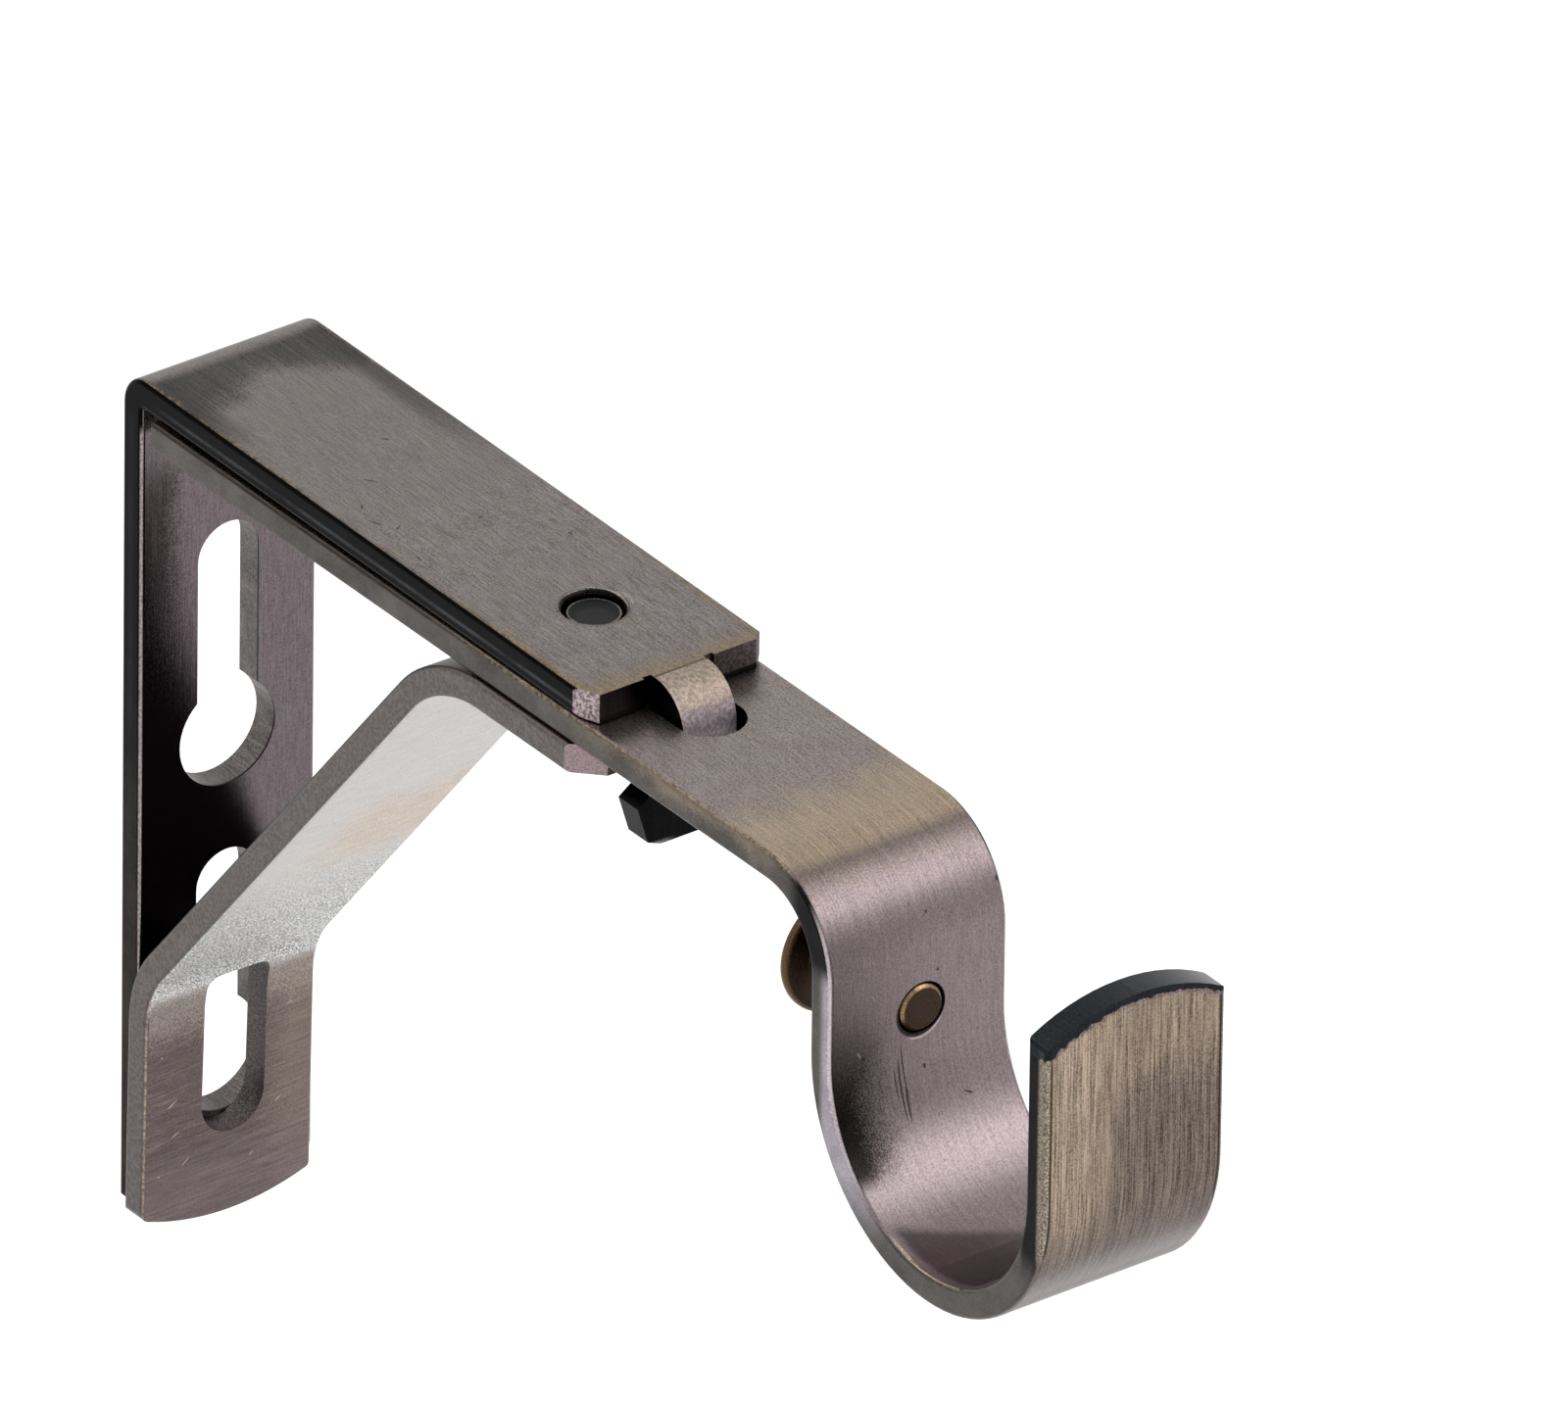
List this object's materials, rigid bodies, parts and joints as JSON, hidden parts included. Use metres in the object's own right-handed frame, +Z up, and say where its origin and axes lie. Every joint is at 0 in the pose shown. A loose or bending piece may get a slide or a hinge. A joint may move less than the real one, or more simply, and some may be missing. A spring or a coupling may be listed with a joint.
{
  "type": "curtain pole bracket",
  "caption": "Adjustable curtain pole bracket of bent steel strip: keyholed wall arm, sliding cradle arm with an open hook, brace, clamp screw and thumb screw.",
  "frame": {"origin": "on the wall face, on its middle line, midway between the two keyholes", "axes": "+X points away from the wall along the arms, +Y runs along the pole, +Z is up"},
  "size_m": [0.1437, 0.022, 0.0911],
  "materials": {
    "bronzed_steel": "brushed, antique bronze plated",
    "black_steel": "blackened",
    "bronze_screw": "dark bronze plated"
  },
  "bodies": {
    "wall_body": {"wall_arm": "bronzed_steel", "brace": "bronzed_steel", "clamp_screw": "black_steel"},
    "cradle_body": {"cradle_arm": "bronzed_steel"},
    "pole_screw_body": {"pole_screw": "bronze_screw"}
  },
  "joints": [
    {"name": "cradle_slide", "type": "slide", "parent": "wall_body", "child": "cradle_body", "axis": [1, 0, 0], "range_m": [-0.0012, 0.045]},
    {"name": "pole_screw_feed", "type": "slide", "parent": "cradle_body", "child": "pole_screw_body", "axis": [1, 0, 0], "range_m": [-0.0019, 0.0078]}
  ]
}
